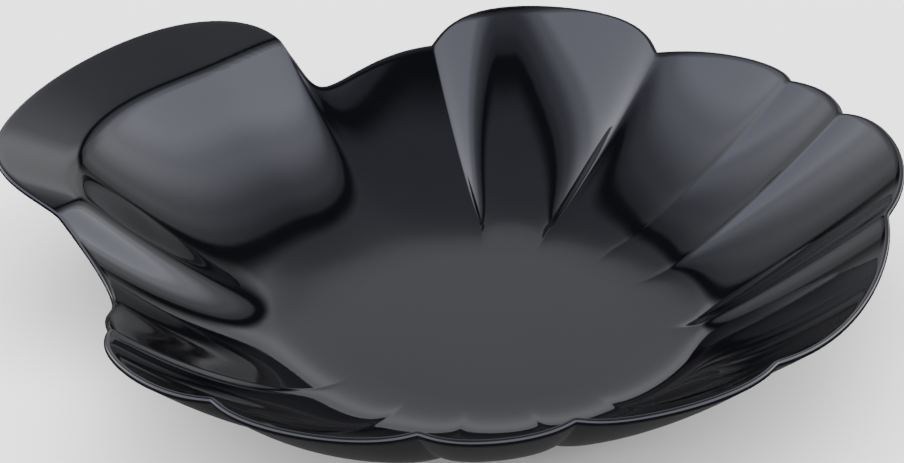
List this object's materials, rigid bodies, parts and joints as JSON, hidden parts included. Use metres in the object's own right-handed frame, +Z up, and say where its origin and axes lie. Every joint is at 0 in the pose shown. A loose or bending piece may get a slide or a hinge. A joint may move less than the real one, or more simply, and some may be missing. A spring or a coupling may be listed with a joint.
{
  "type": "scallop shell dish",
  "caption": "Open scallop-shell dish with a flat round floor, a lobed and ridged wall, and a wide flared tab that serves as its handle.",
  "frame": {"origin": "middle of the flat underside that the dish rests on", "axes": "+Z up out of the dish, +X from the middle towards the front lobe, opposite the tab, +Y to the left when looking along +X"},
  "size_m": [0.3142, 0.3271, 0.0635],
  "materials": {
    "black_plastic": "high-gloss moulded black plastic"
  },
  "bodies": {
    "root": {"shell_dish": "black_plastic"}
  },
  "joints": []
}
